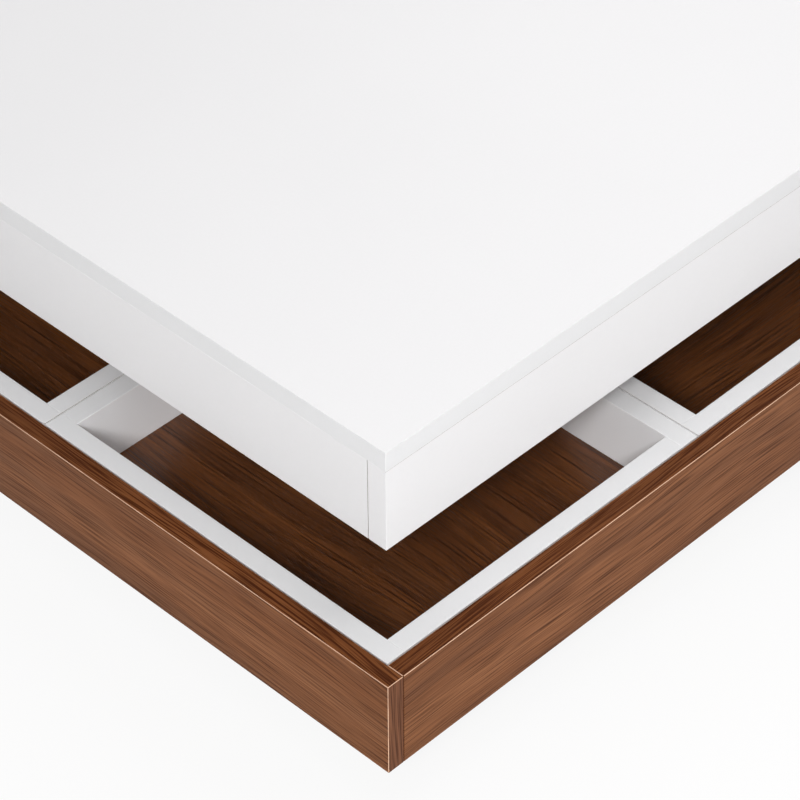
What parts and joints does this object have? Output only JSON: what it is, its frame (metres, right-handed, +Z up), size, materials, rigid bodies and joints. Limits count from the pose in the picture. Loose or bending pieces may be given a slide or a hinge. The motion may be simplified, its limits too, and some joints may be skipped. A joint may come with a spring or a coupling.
{
  "type": "swivel coffee table",
  "caption": "Low square coffee table: a white box top swivels on a ring bearing over a walnut frame with open white storage bins.",
  "frame": {"origin": "on the floor, under the middle of the square base, on the swivel axis", "axes": "+Z up along the swivel axis; +X and +Y along the sides of the base, with the corner nearest the camera at -X -Y"},
  "size_m": [1.2, 1.2, 0.3],
  "materials": {
    "walnut": "satin walnut foil with fine lengthwise grain",
    "walnut_floor": "satin dark walnut foil",
    "white_board": "satin white foil on board",
    "plinth_board": "matt dark brown foil on board",
    "glide_plastic": "matt",
    "screw_steel": "zinc plated",
    "ball_steel": "polished",
    "bearing_aluminium": "satin",
    "cage_plastic": "matt",
    "dowel_wood": "raw beech"
  },
  "bodies": {
    "base": {"frame_west": "walnut", "plinth_west": "plinth_board", "pedestal_west": "white_board", "frame_east": "walnut", "plinth_east": "plinth_board", "pedestal_east": "white_board", "frame_south": "walnut", "plinth_south": "plinth_board", "pedestal_south": "white_board", "frame_north": "walnut", "plinth_north": "plinth_board", "pedestal_north": "white_board", "plinth_cross_rail": "plinth_board", "bottom_board": "plinth_board", "bin_south_west_long_walls": "white_board", "bin_south_west_end_walls": "white_board", "bin_south_west_floor": "walnut_floor", "bin_south_long_walls": "white_board", "bin_south_end_walls": "white_board", "bin_south_floor": "walnut_floor", "bin_south_east_long_walls": "white_board", "bin_south_east_end_walls": "white_board", "bin_south_east_floor": "walnut_floor", "bin_west_long_walls": "white_board", "bin_west_end_walls": "white_board", "bin_west_floor": "walnut_floor", "bin_east_long_walls": "white_board", "bin_east_end_walls": "white_board", "bin_east_floor": "walnut_floor", "bin_north_west_long_walls": "white_board", "bin_north_west_end_walls": "white_board", "bin_north_west_floor": "walnut_floor", "bin_north_long_walls": "white_board", "bin_north_end_walls": "white_board", "bin_north_floor": "walnut_floor", "bin_north_east_long_walls": "white_board", "bin_north_east_end_walls": "white_board", "bin_north_east_floor": "walnut_floor", "glides": "glide_plastic", "plinth_screws": "screw_steel", "pedestal_cap": "white_board", "pedestal_cap_screws": "screw_steel", "bearing_outer_ring": "bearing_aluminium", "bearing_outer_screws": "screw_steel", "base_dowels": "dowel_wood"},
    "ball_cage": {"bearing_balls": "ball_steel", "bearing_cage": "cage_plastic"},
    "top": {"table_top": "white_board", "apron_west": "white_board", "apron_east": "white_board", "apron_south": "white_board", "apron_north": "white_board", "swivel_panel": "white_board", "rib_south": "plinth_board", "rib_north": "plinth_board", "top_dowels": "dowel_wood", "bearing_inner_ring": "bearing_aluminium", "bearing_inner_screws": "screw_steel"}
  },
  "joints": [
    {"name": "swivel", "type": "hinge", "parent": "base", "child": "top", "pos_m": [0, 0, 0.211], "axis": [0, 0, 1], "continuous": true},
    {"name": "ball_cage_turn", "type": "hinge", "parent": "base", "child": "ball_cage", "pos_m": [0, 0, 0.211], "axis": [0, 0, 1], "continuous": true}
  ],
  "couplings": [
    {"joint": "ball_cage_turn", "follows": "swivel", "ratio": 0.5}
  ]
}
